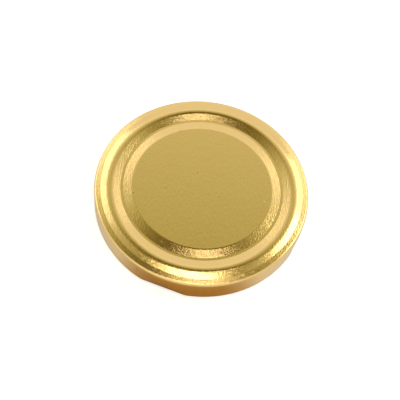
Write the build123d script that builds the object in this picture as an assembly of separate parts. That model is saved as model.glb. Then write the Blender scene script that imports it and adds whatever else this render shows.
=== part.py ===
from build123d import *
import math
import os

# Twist-off cap for a glass jar, pressed from one sheet of lacquered tinplate, open side down.
# The origin is the centre of the circle that the rolled edge stands on, and +Z is the cap's axis.

# Driving sizes of the sheet and the whole cap, in millimetres
sheet = 0.20
rim_radius = 34.75
cap_height = 10.0

# Depths of the pressed levels below the top of the raised ring
panel_drop = 0.31
valley_drop = 0.95
ledge_drop = 0.80

# Widths of the bands, and slopes of the raised ring's two sides and of the ledge in degrees
ledge_width = 2.05
valley_width = 0.80
panel_step_width = 2.90
inner_slope = 18.9
outer_slope = 19.8
ledge_slope = 12.5

# Round bends, measured on the outer face of the sheet
crest_bend = 4.00
shoulder_bend = 0.80

# Rolled edge, and how far round the sheet is rolled in degrees
curl_radius = 0.95
curl_turn = 270.0

# Lugs, pressed inwards from the rolled edge
lug_count = 4
lug_press_depth = 0.78
lug_press_height = 4.80
lug_reach = 1.90
lug_thickness = 1.30
lug_lift = 0.15
lug_flat_length = 7.0
lug_length = 14.0
press_edge_blend = 0.12

# Ring of sealing compound, flowed into the channel under the raised ring
compound_depth = 1.25
compound_width = 4.15

# Every round is drawn as this many flats, and every lug as this many steps round the cap
crest_flat_count = 2
shoulder_flat_count = 2
curl_flat_count = 6
press_flat_count = 3
lug_step_count = 6

# Heights and radii that follow from the sizes
panel_top = cap_height - panel_drop
valley_top = cap_height - valley_drop
ledge_top = cap_height - ledge_drop
underside_top = cap_height - sheet
step_slope = math.degrees(math.atan2(valley_drop - panel_drop, panel_step_width))


def slope_run(slope, drop):
    """Level distance from the middle of the crest to the foot of a slope, a drop below the crest."""
    angle = math.radians(slope)
    rest = drop - crest_bend * (1 - math.cos(angle))
    return crest_bend * math.sin(angle) + rest / math.tan(angle)


def shoulder_fall(run):
    """Height from the ledge's top down to the middle of the shoulder's bend, a run further out."""
    angle = math.radians(ledge_slope)
    return run * math.tan(angle) + shoulder_bend / math.cos(angle)


ring_foot_radius = rim_radius - ledge_width
shoulder_height = ledge_top - shoulder_fall(ledge_width - shoulder_bend)
crest_radius = ring_foot_radius - slope_run(outer_slope, ledge_drop)
valley_outer_radius = crest_radius - slope_run(inner_slope, valley_drop)
valley_inner_radius = valley_outer_radius - valley_width
panel_radius = valley_inner_radius - panel_step_width
pressed_flat_distance = rim_radius - lug_press_depth
lug_half_angle = math.acos(pressed_flat_distance / (rim_radius + press_edge_blend))


def corner(radius, height, before, after, depth):
    """A sharp bend, moved a depth below the outer face, where runs rising at two angles meet."""
    middle = math.radians(before + after) / 2
    shift = depth / math.cos(math.radians(before - after) / 2)
    return radius + shift * math.sin(middle), height - shift * math.cos(middle)


def bend_points(center, radius, before, after, flat_count):
    """Points that divide a round bend, between runs rising at two angles, into equal flats."""
    shares = [step / flat_count for step in range(flat_count + 1)]
    angles = [math.radians(before + (after - before) * share) for share in shares]
    return [(center[0] - radius * math.sin(a), center[1] + radius * math.cos(a)) for a in angles]


def face_line(depth):
    """The sheet's face, a depth below its outer face, from the axis to the pressed part of the skirt."""
    crest_center = (crest_radius, cap_height - crest_bend)
    shoulder_center = (rim_radius - shoulder_bend, shoulder_height)
    return [
        (0.0, panel_top - depth),
        corner(panel_radius, panel_top, 0, -step_slope, depth),
        corner(valley_inner_radius, valley_top, -step_slope, 0, depth),
        corner(valley_outer_radius, valley_top, 0, inner_slope, depth),
        *bend_points(crest_center, crest_bend - depth, inner_slope, -outer_slope, crest_flat_count),
        corner(ring_foot_radius, ledge_top, -outer_slope, -ledge_slope, depth),
        *bend_points(shoulder_center, shoulder_bend - depth, -ledge_slope, -90, shoulder_flat_count),
        (rim_radius - depth, lug_press_height),
    ]


def top_section():
    """Half section of the panel, the rings and the upper skirt, one sheet thick all the way."""
    return make_face(Polyline(*face_line(0.0), *reversed(face_line(sheet)), close=True))


def smooth_step(value):
    """0 below 0, 1 above 1 and half a cosine wave between."""
    return 0.5 - 0.5 * math.cos(math.pi * min(max(value, 0.0), 1.0))


def press_depth_at(angle):
    """How far the outer face is pressed in at an angle from the lug's middle, down to a flat chord."""
    depth = rim_radius - pressed_flat_distance / math.cos(angle)
    if depth > press_edge_blend:
        return depth
    return max(depth + press_edge_blend, 0.0) ** 2 / (4 * press_edge_blend)


def lug_share_at(angle):
    """1 over the lug's flat length, falling to 0 where the lug ends and the round edge begins."""
    arc_length = 2 * abs(angle) * rim_radius
    return smooth_step((lug_length - arc_length) / (lug_length - lug_flat_length))


def edge_section(angle):
    """Section of the lower skirt and rolled edge at an angle from a lug's middle, in its own plane."""
    share = lug_share_at(angle)
    widest = rim_radius - press_depth_at(angle)
    tip = rim_radius - 2 * curl_radius - lug_reach * share
    half_width = (widest - tip) / 2
    half_height = curl_radius + (lug_thickness / 2 - curl_radius) * share
    center = Vector((widest + tip) / 2, half_height + lug_lift * share)

    def edge_line(depth):
        """The sheet's face, a depth inside its outer face, down the skirt and round the rolled edge."""
        points = []
        for step in range(press_flat_count):
            fall = step / press_flat_count
            height = lug_press_height + (center.Y - lug_press_height) * fall
            points.append((rim_radius + (widest - rim_radius) * smooth_step(fall) - depth, height))
        for step in range(curl_flat_count + 1):
            turn = math.radians(curl_turn) * step / curl_flat_count
            outward = Vector(math.cos(turn) * half_height, -math.sin(turn) * half_width).normalized()
            face = center + Vector(half_width * math.cos(turn), -half_height * math.sin(turn))
            point = face - outward * depth
            points.append((point.X, point.Y))
        return points

    section = make_face(Polyline(*edge_line(0.0), *reversed(edge_line(sheet)), close=True))
    radial = (math.cos(angle), math.sin(angle), 0)
    across = (math.sin(angle), -math.cos(angle), 0)
    return Plane(origin=(0, 0, 0), x_dir=radial, z_dir=across) * section


def make_cap_shell():
    """The pressed sheet: panel and rings by turning, then rolled edge and lugs round the skirt."""
    top = revolve(Plane.XZ * top_section(), axis=Axis.Z)
    shares = [2 * step / lug_step_count - 1 for step in range(lug_step_count + 1)]
    lug_angles = [lug_half_angle * share for share in shares]
    lug = loft([edge_section(angle) for angle in lug_angles], ruled=True)
    pitch = 360 / lug_count
    plain_arc = pitch - 2 * math.degrees(lug_half_angle)
    plain_edge = revolve(edge_section(lug_half_angle), axis=Axis.Z, revolution_arc=plain_arc)
    turns = [Rot(0, 0, index * pitch) for index in range(lug_count)]
    return top + [turn * piece for turn in turns for piece in (lug, plain_edge)]


def make_sealing_gasket():
    """The compound ring: it fills the channel up to the sheet, with a level face for the jar's rim."""
    outer_radius = corner(ring_foot_radius, ledge_top, -outer_slope, -ledge_slope, sheet)[0]
    inner_radius = outer_radius - compound_width
    lower_face = underside_top - compound_depth
    blank = Polyline(
        (inner_radius, cap_height),
        (inner_radius, lower_face),
        (outer_radius, lower_face),
        (outer_radius, cap_height),
        close=True,
    )
    pieces = (make_face(blank) - top_section()).faces()
    fill = pieces.sort_by(Axis.Y)[0]
    return revolve(Plane.XZ * fill, axis=Axis.Z)


parts = {
    "cap_shell": make_cap_shell(),
    "sealing_gasket": make_sealing_gasket(),
}
os.makedirs("parts", exist_ok=True)
for name, part in parts.items():
    part.label = name
    export_step(part, f"parts/{name}.step")
    print(name, "volume", round(part.volume, 2), "solids", len(part.solids()))
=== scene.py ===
"""Gold-lacquered tinplate twist-off cap: its looks, a small studio and the camera.

The classes hold their sizes in millimetres, and a mesh is made in metres, in the frame's own axes.
"""

import logging
import math
from dataclasses import dataclass, field
from enum import Enum

import bpy
import numpy as np
from mathutils import Matrix, Vector


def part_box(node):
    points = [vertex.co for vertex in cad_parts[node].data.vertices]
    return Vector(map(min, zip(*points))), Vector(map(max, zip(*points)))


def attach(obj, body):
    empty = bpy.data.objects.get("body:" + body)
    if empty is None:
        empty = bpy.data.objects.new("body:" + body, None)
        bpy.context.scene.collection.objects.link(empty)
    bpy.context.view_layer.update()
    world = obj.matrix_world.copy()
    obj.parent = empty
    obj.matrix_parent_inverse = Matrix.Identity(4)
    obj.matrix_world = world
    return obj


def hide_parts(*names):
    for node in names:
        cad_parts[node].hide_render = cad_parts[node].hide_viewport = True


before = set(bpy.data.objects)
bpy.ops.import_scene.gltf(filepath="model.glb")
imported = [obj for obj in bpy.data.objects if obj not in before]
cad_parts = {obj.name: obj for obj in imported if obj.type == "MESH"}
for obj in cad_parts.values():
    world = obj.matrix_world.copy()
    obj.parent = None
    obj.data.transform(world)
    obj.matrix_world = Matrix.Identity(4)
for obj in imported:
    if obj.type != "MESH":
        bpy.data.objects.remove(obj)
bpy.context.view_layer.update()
MM = 0.001
LOG = logging.getLogger("twist_off_cap")


class Side(Enum):
    """The two faces of the sheet."""

    OUTER = 0
    INNER = 1


class Tone(Enum):
    """How a small mark shows on the lacquer."""

    DARK = "dark"
    LIGHT = "light"


@dataclass(frozen=True)
class Bend:
    """A corner of a section line: its place if it were sharp, and the round that replaces it."""

    radius: float
    height: float
    round: float = 0.0
    steps: int = 0


@dataclass(frozen=True)
class Grid:
    """Points and normals of a surface, each as an array of rows, columns round the axis, and x, y, z."""

    points: np.ndarray
    normals: np.ndarray


def linear_color(hex_color: str) -> tuple[float, float, float, float]:
    """Turns an sRGB hex colour into the linear colour that shaders use.

    Args:
        hex_color: Six hex digits, with or without a leading hash.

    Returns:
        Linear red, green and blue, and an alpha of 1.
    """
    digits = hex_color.lstrip("#")
    srgb = np.array([int(digits[i : i + 2], 16) for i in (0, 2, 4)]) / 255
    low, high = srgb / 12.92, ((srgb + 0.055) / 1.055) ** 2.4
    red, green, blue = np.where(srgb <= 0.04045, low, high)
    return float(red), float(green), float(blue), 1.0


def smooth_step(value: np.ndarray) -> np.ndarray:
    """0 below 0, 1 above 1 and half a cosine wave between."""
    return 0.5 - 0.5 * np.cos(np.pi * np.clip(value, 0.0, 1.0))


def rounded_line(bends: list[Bend], longest_run: float) -> tuple[np.ndarray, np.ndarray]:
    """Turns corners into a line of straight runs joined by tangent arcs.

    An arc starts and ends at its round times the tangent of half the turn from its corner. Its points are its
    centre plus the round times a normal that turns evenly from one run's normal to the next one's.

    Args:
        bends: The corners, from the axis outwards.
        longest_run: A straight run longer than this is divided into equal steps.

    Returns:
        The points as radius and height, and the outer face's normal at each point.
    """
    corners = np.array([(bend.radius, bend.height) for bend in bends])
    runs = np.diff(corners, axis=0)
    headings = np.arctan2(runs[:, 1], runs[:, 0])
    points, angles = [corners[:1]], [headings[:1] + math.pi / 2]
    for index, bend in enumerate(bends[1:-1], start=1):
        before, after = headings[index - 1] + math.pi / 2, headings[index] + math.pi / 2
        along = runs[index - 1] / np.linalg.norm(runs[index - 1])
        start = corners[index] - along * bend.round * abs(math.tan((after - before) / 2))
        side = 1.0 if after < before else -1.0
        turned = np.linspace(before, after, bend.steps + 1)
        center = start - side * bend.round * np.array([math.cos(before), math.sin(before)])
        arc = center + side * bend.round * np.column_stack([np.cos(turned), np.sin(turned)])
        points.append(arc)
        angles.append(turned)
    points.append(corners[-1:])
    angles.append(headings[-1:] + math.pi / 2)
    line, turned = np.concatenate(points), np.concatenate(angles)
    gaps = np.linalg.norm(np.diff(line, axis=0), axis=1)
    counts = np.maximum(np.ceil(gaps / longest_run).astype(int), 1)
    places = [start + np.arange(count) / count for start, count in enumerate(counts)]
    place = np.append(np.concatenate(places), len(line) - 1.0)
    stations = np.arange(len(line))
    fine = np.column_stack([np.interp(place, stations, line[:, axis]) for axis in (0, 1)])
    angle = np.interp(place, stations, turned)
    return fine, np.column_stack([np.cos(angle), np.sin(angle)])


def turned_grid(radii: np.ndarray, heights: np.ndarray, normals: np.ndarray, angles: np.ndarray) -> Grid:
    """Carries a section round the axis.

    A point is (radius cos a, radius sin a, height) for its angle a. Its normal is the cross product of the way
    round, found by central differences, and the section's tangent, which is square to the section's normal.

    Args:
        radii: Distance from the axis, by row and by angle.
        heights: Height, by row and by angle.
        normals: The section's normal as radial and upward parts, by row and by angle.
        angles: The angles round the axis, in radians.

    Returns:
        The grid of points and unit normals.
    """
    cosine, sine = np.cos(angles), np.sin(angles)
    points = np.stack([radii * cosine, radii * sine, heights], axis=-1)
    around = np.roll(points, -1, axis=1) - np.roll(points, 1, axis=1)
    out, rise = normals[..., 0], normals[..., 1]
    tangent = np.stack([rise * cosine, rise * sine, -out], axis=-1)
    cross = np.cross(tangent, around)
    length = np.linalg.norm(cross, axis=-1, keepdims=True)
    flat = np.stack([out * cosine, out * sine, rise], axis=-1)
    return Grid(points, np.where(length > 1e-9, cross / np.maximum(length, 1e-9), flat))


def mesh_object(name: str, vertices: np.ndarray, normals: np.ndarray, faces: np.ndarray) -> bpy.types.Object:
    """Makes a smooth-shaded object from arrays.

    Args:
        name: The object's name.
        vertices: Vertices in millimetres, one row each.
        normals: A unit normal for each vertex.
        faces: Vertex numbers, four to a face; a triangle repeats its last one.

    Returns:
        The new object, at the origin, in the scene's collection.
    """
    is_triangle = faces[:, 2] == faces[:, 3]
    sizes = np.where(is_triangle, 3, 4)
    keep = np.ones(faces.shape, bool)
    keep[is_triangle, 3] = False
    corners = faces[keep]
    mesh = bpy.data.meshes.new(name)
    mesh.vertices.add(len(vertices))
    mesh.vertices.foreach_set("co", (vertices * MM).astype(np.float32).ravel())
    mesh.loops.add(len(corners))
    mesh.loops.foreach_set("vertex_index", corners.astype(np.int32))
    mesh.polygons.add(len(faces))
    mesh.polygons.foreach_set("loop_start", (np.cumsum(sizes) - sizes).astype(np.int32))
    mesh.update(calc_edges=True)
    mesh.shade_smooth()
    mesh.normals_split_custom_set_from_vertices(normals.astype(np.float32))
    piece = bpy.data.objects.new(name, mesh)
    bpy.context.scene.collection.objects.link(piece)
    return piece


def grid_faces(rows: int, columns: int, first: int, closed: bool) -> np.ndarray:
    """Numbers the corners of each quad of a grid that goes right round the axis.

    The corners run outwards along the section, then on round the axis, so that faces point to the outer side.

    Args:
        rows: Rows along the section.
        columns: Columns round the axis.
        first: The number of the grid's first vertex.
        closed: Whether the last row joins the first.

    Returns:
        Four vertex numbers for each face.
    """
    row = np.arange(rows if closed else rows - 1)[:, None]
    column = np.arange(columns)[None, :]
    after_row, after_column = (row + 1) % rows, (column + 1) % columns
    quads = [row * columns + column, after_row * columns + column]
    quads += [after_row * columns + after_column, row * columns + after_column]
    return first + np.stack(quads, axis=-1).reshape(-1, 4)


def add_node(
    tree: bpy.types.NodeTree,
    kind: str,
    inputs: dict[str | int, object] | None = None,
    links: dict[str | int, bpy.types.NodeSocket] | None = None,
    **settings: object,
) -> bpy.types.Node:
    """Adds a shader node with its settings, input values and links.

    Args:
        tree: The node tree.
        kind: The node's type, without the leading ShaderNode.
        inputs: Values for inputs, by name or number.
        links: Output sockets that feed inputs, by name or number.
        **settings: The node's own properties.

    Returns:
        The new node.
    """
    node = tree.nodes.new("ShaderNode" + kind)
    for key, value in settings.items():
        setattr(node, key, value)
    for key, value in (inputs or {}).items():
        node.inputs[key].default_value = value
    for key, socket in (links or {}).items():
        tree.links.new(socket, node.inputs[key])
    return node


def add_ramp(
    tree: bpy.types.NodeTree, place: bpy.types.NodeSocket, tones: list[tuple[float, list[float]]]
) -> bpy.types.NodeSocket:
    """Blends linear colours along a number from 0 to 1.

    Args:
        tree: The node tree.
        place: The number.
        tones: Each colour with its place, in order.

    Returns:
        The blended colour.
    """
    ramp = add_node(tree, "ValToRGB", None, {"Fac": place})
    elements = ramp.color_ramp.elements
    while len(elements) < len(tones):
        elements.new(1.0)
    for element, (position, color) in zip(elements, tones, strict=True):
        element.position = position
        element.color = (*color[:3], 1.0)
    return ramp.outputs["Color"]


def new_material(name: str) -> tuple[bpy.types.Material, bpy.types.NodeTree, bpy.types.Node]:
    """Makes an empty node material and its Principled shader, already linked to the output."""
    material = bpy.data.materials.new(name)
    material.use_nodes = True
    tree = material.node_tree
    tree.nodes.clear()
    shader = add_node(tree, "BsdfPrincipled")
    add_node(tree, "OutputMaterial", links={"Surface": shader.outputs["BSDF"]})
    return material, tree, shader


@dataclass(frozen=True)
class Mark:
    """A small speck or nick on the lacquer, at a place on the cap in millimetres."""

    place: tuple[float, float, float]
    size: float
    tone: Tone


@dataclass(frozen=True)
class LacqueredTinplate:
    """Bright tinplate under a clear gold stoving lacquer, roller-coated on the flat sheet before pressing.

    The eye sees a yellow metal mirror, a little blurred: the steel's rolled grain under the lacquer breaks the
    edge of a bright reflection into short bright and dark streaks, and a colourless gloss lies over the gold
    where the sheet is seen at a low angle.
    """

    name: str = "gold_lacquered_tinplate"
    gold: str = "#FFDA86"
    warm_gold: str = "#FFD588"
    dust: str = "#6B5A24"
    chip: str = "#FFF6D8"
    roughness: float = 0.15
    lacquer_weight: float = 0.5
    lacquer_roughness: float = 0.12
    # Rolled grain is some 0.05 mm wide on the real sheet. It is drawn this coarse so that it shows.
    grain_width: float = 0.26
    grain_length: float = 1.6
    grain_depth: float = 0.040
    grain_heading: float = 102.7
    orange_peel_width: float = 0.9
    orange_peel_depth: float = 0.010
    patch_width: float = 2.6
    marks: tuple[Mark, ...] = (
        Mark((-19.54, -10.90, 9.69), 0.26, Tone.DARK),
        Mark((-10.65, -4.97, 9.69), 0.20, Tone.DARK),
        Mark((6.45, -1.51, 9.69), 0.20, Tone.DARK),
        Mark((-3.30, 4.33, 9.69), 0.18, Tone.DARK),
        Mark((-14.30, 17.52, 9.69), 0.22, Tone.DARK),
        Mark((20.42, 2.57, 9.69), 0.36, Tone.LIGHT),
        Mark((17.19, -9.85, 9.69), 0.30, Tone.LIGHT),
        Mark((24.97, -2.74, 9.14), 0.24, Tone.LIGHT),
        Mark((12.93, -13.95, 9.69), 0.22, Tone.LIGHT),
        Mark((-29.90, -9.70, 9.66), 0.24, Tone.DARK),
        Mark((-29.50, -10.60, 9.70), 0.24, Tone.DARK),
        Mark((-29.00, -11.40, 9.75), 0.24, Tone.DARK),
        Mark((-23.20, -21.40, 9.58), 0.26, Tone.LIGHT),
        Mark((-23.06, -22.20, 9.47), 0.30, Tone.LIGHT),
        Mark((-23.08, -23.00, 9.32), 0.26, Tone.LIGHT),
        Mark((-9.02, -33.56, 6.07), 0.34, Tone.DARK),
        Mark((-8.60, -33.67, 5.20), 0.26, Tone.DARK),
    )

    def make(self) -> bpy.types.Material:
        """Builds the material.

        Returns:
            The material, with patterns on Object coordinates.
        """
        material, tree, shader = new_material(self.name)
        place = add_node(tree, "TexCoord").outputs["Object"]
        color = self.patches(tree, place)
        color = self.marked(tree, place, color)
        tree.links.new(color, shader.inputs["Base Color"])
        tree.links.new(self.grain(tree, place), shader.inputs["Normal"])
        shader.inputs["Metallic"].default_value = 1.0
        shader.inputs["Roughness"].default_value = self.roughness
        shader.inputs["Coat Weight"].default_value = self.lacquer_weight
        shader.inputs["Coat Roughness"].default_value = self.lacquer_roughness
        return material

    def patches(self, tree: bpy.types.NodeTree, place: bpy.types.NodeSocket) -> bpy.types.NodeSocket:
        """Lets the lacquer's colour drift between two golds in soft patches some millimetres wide."""
        size = self.patch_width * MM
        spread = add_node(tree, "Mapping", {"Scale": (size, size, size)}, {"Vector": place}, vector_type="TEXTURE")
        noise = add_node(tree, "TexNoise", {"Scale": 1.0, "Detail": 3.0}, {"Vector": spread.outputs[0]})
        mix = add_node(tree, "Mix", links={"Factor": noise.outputs["Fac"]}, data_type="RGBA")
        mix.inputs[6].default_value = linear_color(self.gold)
        mix.inputs[7].default_value = linear_color(self.warm_gold)
        return mix.outputs[2]

    def marked(
        self, tree: bpy.types.NodeTree, place: bpy.types.NodeSocket, color: bpy.types.NodeSocket
    ) -> bpy.types.NodeSocket:
        """Lays each small mark over the colour, as a soft spot round its place."""
        for mark in self.marks:
            center = tuple(value * MM for value in mark.place)
            reach = add_node(tree, "VectorMath", {1: center}, {0: place}, operation="DISTANCE")
            cover = add_node(
                tree,
                "MapRange",
                {"From Min": 0.3 * mark.size * MM, "From Max": mark.size * MM, "To Min": 1.0, "To Max": 0.0},
                {"Value": reach.outputs["Value"]},
            )
            mix = add_node(tree, "Mix", None, {"Factor": cover.outputs["Result"], 6: color}, data_type="RGBA")
            mix.inputs[7].default_value = linear_color(self.dust if mark.tone is Tone.DARK else self.chip)
            color = mix.outputs[2]
        return color

    def grain(self, tree: bpy.types.NodeTree, place: bpy.types.NodeSocket) -> bpy.types.NodeSocket:
        """Raises the rolled grain, long along the rolling direction, and the lacquer's soft orange peel."""
        heading = math.radians(self.grain_heading)
        rolled = add_node(
            tree,
            "Mapping",
            {
                "Rotation": (0.0, 0.0, heading),
                "Scale": (self.grain_length * MM, self.grain_width * MM, self.grain_width * MM),
            },
            {"Vector": place},
            vector_type="TEXTURE",
        )
        fine = add_node(tree, "TexNoise", {"Scale": 1.0, "Detail": 2.0}, {"Vector": rolled.outputs[0]})
        width = self.orange_peel_width * MM
        peel = add_node(
            tree, "Mapping", {"Scale": (width, width, width)}, {"Vector": place}, vector_type="TEXTURE"
        )
        soft = add_node(tree, "TexNoise", {"Scale": 1.0, "Detail": 1.0}, {"Vector": peel.outputs[0]})
        low = add_node(
            tree, "Bump", {"Distance": self.orange_peel_depth * MM}, {"Height": soft.outputs["Fac"]}
        )
        high = add_node(
            tree,
            "Bump",
            {"Distance": self.grain_depth * MM},
            {"Height": fine.outputs["Fac"], "Normal": low.outputs["Normal"]},
        )
        return high.outputs["Normal"]


@dataclass(frozen=True)
class SealingCompound:
    """Off-white vinyl plastisol, poured into the channel as a liquid and baked there.

    The eye sees a soft, slightly waxy ring with a satin face, faintly uneven where the liquid levelled out.
    """

    name: str = "off_white_plastisol"
    body: str = "#E9E3D3"
    shade: str = "#DDD5C2"
    roughness: float = 0.42
    ripple_width: float = 2.2
    ripple_depth: float = 0.03

    def make(self) -> bpy.types.Material:
        """Builds the material.

        Returns:
            The material, with patterns on Object coordinates.
        """
        material, tree, shader = new_material(self.name)
        place = add_node(tree, "TexCoord").outputs["Object"]
        width = self.ripple_width * MM
        spread = add_node(
            tree, "Mapping", {"Scale": (width, width, width)}, {"Vector": place}, vector_type="TEXTURE"
        )
        noise = add_node(tree, "TexNoise", {"Scale": 1.0, "Detail": 3.0}, {"Vector": spread.outputs[0]})
        mix = add_node(tree, "Mix", None, {"Factor": noise.outputs["Fac"]}, data_type="RGBA")
        mix.inputs[6].default_value = linear_color(self.body)
        mix.inputs[7].default_value = linear_color(self.shade)
        bump = add_node(tree, "Bump", {"Distance": self.ripple_depth * MM}, {"Height": noise.outputs["Fac"]})
        tree.links.new(mix.outputs[2], shader.inputs["Base Color"])
        tree.links.new(bump.outputs["Normal"], shader.inputs["Normal"])
        shader.inputs["Roughness"].default_value = self.roughness
        shader.inputs["Subsurface Weight"].default_value = 0.15
        shader.inputs["Subsurface Scale"].default_value = 0.5 * MM
        return material


@dataclass
class CapShell:
    """The pressed sheet: panel, rings, skirt, rolled edge and lugs, as one closed surface.

    Sizes are in millimetres and slopes in degrees. The rim's radius and the height come from the frame.
    """

    rim_radius: float
    cap_height: float
    sheet: float = 0.20
    panel_drop: float = 0.31
    valley_drop: float = 0.95
    ledge_drop: float = 0.80
    ledge_width: float = 2.05
    valley_width: float = 0.80
    panel_step_width: float = 2.90
    outer_slope: float = 19.8
    inner_slope: float = 18.9
    ledge_slope: float = 12.5
    crest_bend: float = 4.00
    shoulder_bend: float = 0.80
    curl_radius: float = 0.95
    curl_turn: float = 270.0
    lug_count: int = 4
    lug_press_depth: float = 0.78
    lug_press_height: float = 4.80
    lug_reach: float = 1.90
    lug_thickness: float = 1.30
    lug_lift: float = 0.15
    lug_flat_length: float = 7.0
    lug_length: float = 14.0
    press_edge_blend: float = 0.12
    # The panel's soft edge, and the small round at the foot of each slope
    panel_bend: float = 3.0
    concave_bend: float = 0.40
    columns: int = 384
    press_rows: int = 12
    curl_rows: int = 34
    finish: LacqueredTinplate = field(default_factory=LacqueredTinplate)

    def slope_run(self, slope: float, drop: float) -> float:
        """Level distance from the middle of the crest to the foot of a slope, a drop below the crest."""
        angle = math.radians(slope)
        rest = drop - self.crest_bend * (1 - math.cos(angle))
        return self.crest_bend * math.sin(angle) + rest / math.tan(angle)

    def corners(self) -> list[Bend]:
        """The section's corners from the axis to the lower skirt, on the outer face.

        Returns:
            The bends in order. The crest's own corner is where its two slopes would meet.
        """
        panel_top = self.cap_height - self.panel_drop
        valley_top = self.cap_height - self.valley_drop
        ledge_top = self.cap_height - self.ledge_drop
        ring_foot = self.rim_radius - self.ledge_width
        crest = ring_foot - self.slope_run(self.outer_slope, self.ledge_drop)
        valley_outer = crest - self.slope_run(self.inner_slope, self.valley_drop)
        valley_inner = valley_outer - self.valley_width
        panel_edge = valley_inner - self.panel_step_width
        rise_in, rise_out = (math.tan(math.radians(s)) for s in (self.inner_slope, self.outer_slope))
        ledge_fall = self.ledge_width * math.tan(math.radians(self.ledge_slope))
        meeting = (ledge_top - valley_top + ring_foot * rise_out + valley_outer * rise_in) / (rise_in + rise_out)
        return [
            Bend(0.0, panel_top),
            Bend(panel_edge, panel_top, self.panel_bend, 8),
            Bend(valley_inner, valley_top, self.concave_bend, 4),
            Bend(valley_outer, valley_top, self.concave_bend, 4),
            Bend(meeting, valley_top + (meeting - valley_outer) * rise_in, self.crest_bend, 20),
            Bend(ring_foot, ledge_top, self.concave_bend, 4),
            Bend(self.rim_radius, ledge_top - ledge_fall, self.shoulder_bend, 14),
            Bend(self.rim_radius, self.lug_press_height),
        ]

    def lower_section(self, angles: np.ndarray) -> tuple[np.ndarray, np.ndarray, np.ndarray]:
        """The lower skirt and the rolled edge, which the lugs change round the cap.

        The skirt moves in from its round radius to the pressed one on half a cosine wave. The edge is part of
        an ellipse, (half width cos t, -half height sin t) about its centre, as t turns from 0. Away from the
        lugs it is the curl's circle; at a lug it is wider, reaching inwards, and flatter.

        Args:
            angles: The angles round the axis, in radians.

        Returns:
            Radii, heights and section normals, by row and by angle.
        """
        pitch = 2 * math.pi / self.lug_count
        from_lug = np.abs((angles + pitch / 2) % pitch - pitch / 2)
        chord = self.rim_radius - (self.rim_radius - self.lug_press_depth) / np.cos(from_lug)
        blended = np.maximum(chord + self.press_edge_blend, 0.0) ** 2 / (4 * self.press_edge_blend)
        press = np.where(chord > self.press_edge_blend, chord, blended)
        arc_length = 2 * from_lug * self.rim_radius
        share = smooth_step((self.lug_length - arc_length) / (self.lug_length - self.lug_flat_length))
        widest = self.rim_radius - press
        tip = self.rim_radius - 2 * self.curl_radius - self.lug_reach * share
        half_width = (widest - tip) / 2
        half_height = self.curl_radius + (self.lug_thickness / 2 - self.curl_radius) * share
        middle, level = (widest + tip) / 2, half_height + self.lug_lift * share

        fall = (np.arange(1, self.press_rows) / self.press_rows)[:, None]
        depth = self.lug_press_height - level
        skirt_radii = self.rim_radius - press * smooth_step(fall)
        skirt_heights = self.lug_press_height - depth * fall
        lean = press * np.pi / 2 * np.sin(np.pi * fall)
        skirt_normals = np.stack([np.broadcast_to(depth, lean.shape), -lean], axis=-1)

        turn = np.radians(np.linspace(0.0, self.curl_turn, self.curl_rows + 1))[:, None]
        curl_radii = middle + half_width * np.cos(turn)
        curl_heights = level - half_height * np.sin(turn)
        curl_normals = np.stack([half_height * np.cos(turn), -half_width * np.sin(turn)], axis=-1)

        radii = np.concatenate([skirt_radii, curl_radii])
        heights = np.concatenate([skirt_heights, curl_heights])
        normals = np.concatenate([skirt_normals, curl_normals])
        return radii, heights, normals / np.linalg.norm(normals, axis=-1, keepdims=True)

    def face_grid(self, side: Side) -> Grid:
        """One face of the sheet, from beside the axis to the end of the curl.

        The inner face is the outer one moved in by the sheet's thickness along the section's normal.

        Args:
            side: Which face.

        Returns:
            The grid, without its point on the axis.
        """
        angles = np.arange(self.columns) * 2 * math.pi / self.columns
        line, line_normals = rounded_line(self.corners(), longest_run=3.0)
        top = np.broadcast_to(line[1:, None, :], (len(line) - 1, self.columns, 2))
        top_normals = np.broadcast_to(line_normals[1:, None, :], top.shape)
        lower_radii, lower_heights, lower_normals = self.lower_section(angles)
        radii = np.concatenate([top[..., 0], lower_radii])
        heights = np.concatenate([top[..., 1], lower_heights])
        normals = np.concatenate([top_normals, lower_normals])
        depth = self.sheet if side is Side.INNER else 0.0
        grid = turned_grid(radii - depth * normals[..., 0], heights - depth * normals[..., 1], normals, angles)
        return grid if side is Side.OUTER else Grid(grid.points, -grid.normals)

    def build(self) -> bpy.types.Object:
        """Joins both faces at the sheet's cut edge and closes them on the axis.

        Returns:
            The finished piece.
        """
        outer, inner = self.face_grid(Side.OUTER), self.face_grid(Side.INNER)
        rows = 2 * len(outer.points)
        points = np.concatenate([outer.points, inner.points[::-1]]).reshape(-1, 3)
        normals = np.concatenate([outer.normals, inner.normals[::-1]]).reshape(-1, 3)
        panel_top = self.cap_height - self.panel_drop
        poles = np.array([[0.0, 0.0, panel_top], [0.0, 0.0, panel_top - self.sheet]])
        count = len(points)
        column = np.arange(self.columns)
        after = (column + 1) % self.columns
        last = (rows - 1) * self.columns
        top_fan = np.stack([np.full_like(column, count), column, after, after], axis=-1)
        under_fan = np.stack([last + column, np.full_like(column, count + 1), last + after, last + after], axis=-1)
        faces = np.concatenate([grid_faces(rows, self.columns, 0, False), top_fan, under_fan])
        upright = np.array([[0.0, 0.0, 1.0], [0.0, 0.0, -1.0]])
        piece = mesh_object(
            "pressed_shell", np.concatenate([points, poles]), np.concatenate([normals, upright]), faces
        )
        piece.data.materials.append(self.finish.make())
        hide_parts("cap_shell")
        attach(piece, "root")
        return piece


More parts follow.
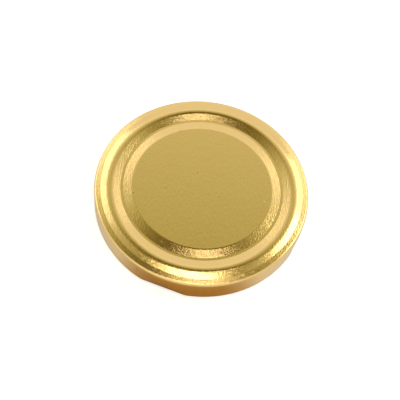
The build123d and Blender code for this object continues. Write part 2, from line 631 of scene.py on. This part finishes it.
@dataclass
class SealingGasket:
    """The ring of sealing compound in the channel under the raised ring."""

    shell: CapShell
    depth: float = 1.25
    width: float = 4.15
    meniscus: float = 0.35
    seat_gap: float = 0.01
    columns: int = 288
    finish: SealingCompound = field(default_factory=SealingCompound)

    def section(self) -> tuple[np.ndarray, np.ndarray]:
        """The ring's closed section: the sheet's underside above, and a level face with rounded lips below.

        A lip is a quarter circle between the level face and the ring's upright end.

        Returns:
            Points as radius and height, and their outward normals.
        """
        line, normals = rounded_line(self.shell.corners(), longest_run=0.3)
        under = line - (self.shell.sheet + self.seat_gap) * normals
        foot = self.shell.rim_radius - self.shell.ledge_width
        before, after = (math.radians(slope) for slope in (self.shell.outer_slope, self.shell.ledge_slope))
        outer = foot - self.shell.sheet * math.sin((before + after) / 2) / math.cos((before - after) / 2)
        inner = outer - self.width
        level = self.shell.cap_height - self.shell.sheet - self.depth
        inside = (under[:, 0] > inner) & (under[:, 0] < outer)
        roof, roof_normals = under[inside], normals[inside]
        quarter = np.linspace(0.0, np.pi / 2, 8)
        outer_lip = np.column_stack([np.cos(quarter), -np.sin(quarter)])
        inner_lip = np.column_stack([-np.sin(quarter), -np.cos(quarter)])
        lip = self.meniscus
        outer_points = np.array([outer - lip, level + lip]) + lip * outer_lip
        inner_points = np.array([inner + lip, level + lip]) + lip * inner_lip
        points = np.concatenate([roof, outer_points, inner_points])
        return points, np.concatenate([roof_normals, outer_lip, inner_lip])

    def build(self) -> bpy.types.Object:
        """Turns the section round the axis.

        Returns:
            The finished piece.
        """
        points, normals = self.section()
        angles = np.arange(self.columns) * 2 * math.pi / self.columns
        shape = (len(points), self.columns)
        radii = np.broadcast_to(points[:, :1], shape)
        heights = np.broadcast_to(points[:, 1:], shape)
        grid = turned_grid(radii, heights, np.broadcast_to(normals[:, None, :], (*shape, 2)), angles)
        faces = grid_faces(len(points), self.columns, 0, True)
        piece = mesh_object("compound_ring", grid.points.reshape(-1, 3), grid.normals.reshape(-1, 3), faces)
        piece.data.materials.append(self.finish.make())
        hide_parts("sealing_gasket")
        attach(piece, "root")
        return piece


@dataclass(frozen=True)
class Softbox:
    """A rectangular lamp, placed by the way that it lies from the cap, as seen by the camera's operator.

    The direction is right, away from the camera, and up. The spread is its width and height as shares of its
    distance, and the radiance is in units of the white floor.
    """

    name: str
    direction: tuple[float, float, float]
    spread: tuple[float, float]
    turn: float
    radiance: float
    distance: float = 0.7
    color: str = "#FFFFFF"


@dataclass
class Studio:
    """A white table, a dome of soft light that is darker overhead, and softboxes round the cap."""

    heading: float = 12.7
    floor_size: float = 6.0
    floor_color: str = "#E6E6E6"
    floor_glow: float = 0.50
    # Painted shade and painted gold bounce light: a tone painted into the table's colour on the camera's side,
    # which the skirt mirrors, standing in for the skirt's own shade, where the table is lit by little but the gold
    # light that the skirt throws back
    painted_shade_color: str = "#B09060"
    # Distances from the cap's axis, in millimetres, between which that painted shade fades into the plain table
    painted_shade_reach: tuple[float, float] = (37.0, 44.0)
    # Angles from the camera's side, in degrees, between which it fades out round the cap
    painted_shade_spread: tuple[float, float] = (12.0, 46.0)
    # Brightness of the dome, by height above the table as the sine of the elevation
    dome: tuple[tuple[float, float, str], ...] = (
        (0.00, 0.80, "#FFFFFF"),
        (0.45, 0.78, "#FFFFFF"),
        (0.60, 0.86, "#FFFFFF"),
        (0.72, 0.80, "#FFFFFF"),
        (0.86, 0.52, "#FCFFD0"),
        (0.91, 0.40, "#FCF8B4"),
        (0.955, 0.13, "#FFE466"),
        (1.00, 0.10, "#FFE466"),
    )
    boxes: tuple[Softbox, ...] = (
        Softbox("overhead_lamp", (0.01, -0.22, 0.975), (0.34, 0.17), -12.0, 5.0),
        Softbox("overhead_reflector", (0.10, -0.03, 0.995), (0.13, 0.22), -25.0, 2.2),
        Softbox("front_box", (0.0, -0.70, 0.71), (1.10, 0.36), 0.0, 0.5),
        Softbox("left_wall", (-0.72, 0.46, 0.52), (0.50, 0.85), 0.0, 0.9),
        Softbox("right_wall", (0.72, 0.46, 0.52), (0.50, 0.85), 0.0, 1.0),
        Softbox("right_window", (0.70, 0.22, 0.68), (0.30, 0.36), 0.0, 2.5),
    )

    def scene_direction(self, direction: tuple[float, float, float]) -> Vector:
        """Turns a direction given from the camera's side into the frame's axes."""
        return (Matrix.Rotation(math.radians(self.heading), 3, "Z") @ Vector(direction)).normalized()

    def build_floor(self) -> bpy.types.Object:
        """Lays a large white table under the cap, with a painted shade near the cap on the camera's side that
        camera rays don't see.

        Returns:
            The table.
        """
        half = self.floor_size / 2 / MM
        corners = np.array([[-half, -half, 0.0], [half, -half, 0.0], [half, half, 0.0], [-half, half, 0.0]])
        upright = np.tile([0.0, 0.0, 1.0], (4, 1))
        floor = mesh_object("white_table", corners, upright, np.array([[0, 1, 2, 3]]))
        material, tree, shader = new_material("white_table_paint")
        shader.inputs["Roughness"].default_value = 0.9
        shader.inputs["Specular IOR Level"].default_value = 0.0
        place = add_node(tree, "TexCoord").outputs["Object"]
        reach = add_node(tree, "VectorMath", None, {0: place}, operation="LENGTH").outputs["Value"]
        first, last = (radius * MM for radius in self.painted_shade_reach)
        painted_shade_closeness = add_node(
            tree,
            "MapRange",
            {"From Min": last, "From Max": first},
            {"Value": reach},
            interpolation_type="SMOOTHSTEP",
        )
        seen = add_node(tree, "LightPath").outputs["Is Camera Ray"]
        shown = add_node(tree, "Math", {0: 1.0}, {1: seen}, operation="SUBTRACT").outputs[0]
        near, far = (math.cos(math.radians(angle)) for angle in self.painted_shade_spread)
        outward = add_node(tree, "VectorMath", None, {0: place}, operation="NORMALIZE").outputs[0]
        front = tuple(self.scene_direction((0.0, -1.0, 0.0)))
        facing = add_node(tree, "VectorMath", {1: front}, {0: outward}, operation="DOT_PRODUCT")
        share = add_node(
            tree,
            "MapRange",
            {"From Min": far, "From Max": near},
            {"Value": facing.outputs["Value"], "To Max": shown},
            interpolation_type="SMOOTHSTEP",
        )
        cover = add_node(
            tree,
            "Math",
            None,
            {0: painted_shade_closeness.outputs["Result"], 1: share.outputs["Result"]},
            operation="MULTIPLY",
        )
        # Painted shade: near the cap, on the camera's side, the table's colour turns to the shade colour for every
        # ray but the camera's
        tone = add_node(tree, "Mix", None, {"Factor": cover.outputs[0]}, data_type="RGBA")
        tone.inputs[6].default_value = linear_color(self.floor_color)
        tone.inputs[7].default_value = linear_color(self.painted_shade_color)
        tree.links.new(tone.outputs[2], shader.inputs["Base Color"])
        glow = add_node(tree, "Math", {1: self.floor_glow}, {0: seen}, operation="MULTIPLY")
        tree.links.new(glow.outputs[0], shader.inputs["Emission Strength"])
        shader.inputs["Emission Color"].default_value = linear_color("#FFFFFF")
        floor.data.materials.append(material)
        return floor

    def build_dome(self) -> None:
        """Lights the room from all round, by the height of each direction above the table."""
        world = bpy.data.worlds.new("soft_dome")
        world.use_nodes = True
        tree = world.node_tree
        tree.nodes.clear()
        direction = add_node(tree, "TexCoord").outputs["Generated"]
        height = add_node(tree, "SeparateXYZ", None, {0: direction}).outputs["Z"]
        tones = [(place, [level * value for value in linear_color(tint)]) for place, level, tint in self.dome]
        glow = add_node(tree, "Background", None, {"Color": add_ramp(tree, height, tones)})
        add_node(tree, "OutputWorld", None, {"Surface": glow.outputs["Background"]})
        bpy.context.scene.world = world

    def build_box(self, box: Softbox) -> bpy.types.Object:
        """Hangs a softbox facing the cap.

        Args:
            box: The softbox to hang.

        Returns:
            The lamp.
        """
        lamp = bpy.data.lights.new(box.name, "AREA")
        lamp.shape = "RECTANGLE"
        lamp.size, lamp.size_y = (share * box.distance for share in box.spread)
        lamp.energy = box.radiance * math.pi * lamp.size * lamp.size_y
        lamp.color = linear_color(box.color)[:3]
        light = bpy.data.objects.new(box.name, lamp)
        toward = self.scene_direction(box.direction)
        away = self.scene_direction((0.0, 1.0, 0.0))
        across = away.cross(toward).normalized()
        upward = toward.cross(across)
        facing = Matrix((across, upward, toward)).transposed()
        turned = facing @ Matrix.Rotation(math.radians(box.turn), 3, "Z")
        light.matrix_world = Matrix.Translation(toward * box.distance) @ turned.to_4x4()
        bpy.context.scene.collection.objects.link(light)
        return light

    def build(self) -> None:
        """Sets up the table, the dome and the softboxes."""
        self.build_floor()
        self.build_dome()
        for box in self.boxes:
            self.build_box(box)


@dataclass
class Viewpoint:
    """The camera: where it stands, what it looks at and how the picture is framed.

    Angles are in degrees and lengths in millimetres. The offset is how far the aim lies right of and above the
    middle of the picture, in shares of its width.
    """

    heading: float
    elevation: float = 58.9
    roll: float = 8.9
    distance: float = 300.0
    aim_height: float = 9.2
    picture_scale: float = 3.095
    picture_width: int = 400
    offset: tuple[float, float] = (0.0056, 0.0320)

    def build(self) -> bpy.types.Object:
        """Places the camera and makes it the scene's own.

        Returns:
            The camera.
        """
        data = bpy.data.cameras.new("product_camera")
        data.sensor_width = 36.0
        data.lens = data.sensor_width * self.picture_scale * self.distance / self.picture_width
        data.shift_x, data.shift_y = -self.offset[0], -self.offset[1]
        data.clip_start, data.clip_end = 0.01, 20.0
        camera = bpy.data.objects.new("product_camera", data)
        turn = math.radians(self.heading)
        tilt = math.radians(self.elevation)
        back = Vector((math.sin(turn) * math.cos(tilt), -math.cos(turn) * math.cos(tilt), math.sin(tilt)))
        right = Vector((math.cos(turn), math.sin(turn), 0.0))
        upward = back.cross(right)
        facing = Matrix((right, upward, back)).transposed()
        turned = facing @ Matrix.Rotation(math.radians(self.roll), 3, "Z")
        place = (Vector((0.0, 0.0, self.aim_height)) + back * self.distance) * MM
        camera.matrix_world = Matrix.Translation(place) @ turned.to_4x4()
        bpy.context.scene.collection.objects.link(camera)
        bpy.context.scene.camera = camera
        return camera


def main() -> None:
    """Builds the cap, the studio and the camera, in that order."""
    logging.basicConfig(level=logging.INFO, format="%(message)s")
    low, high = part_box("cap_shell")
    shell = CapShell(rim_radius=high.x / MM, cap_height=high.z / MM)
    for piece in (shell.build(), SealingGasket(shell).build()):
        LOG.info("%s: %d faces", piece.name, len(piece.data.polygons))
    studio = Studio()
    studio.build()
    Viewpoint(studio.heading).build()
    bpy.context.scene.view_settings.view_transform = "Standard"
    LOG.info("studio and camera are set; the cap is %.2f mm wide", (high.x - low.x) / MM)


if __name__ == "__main__":
    main()
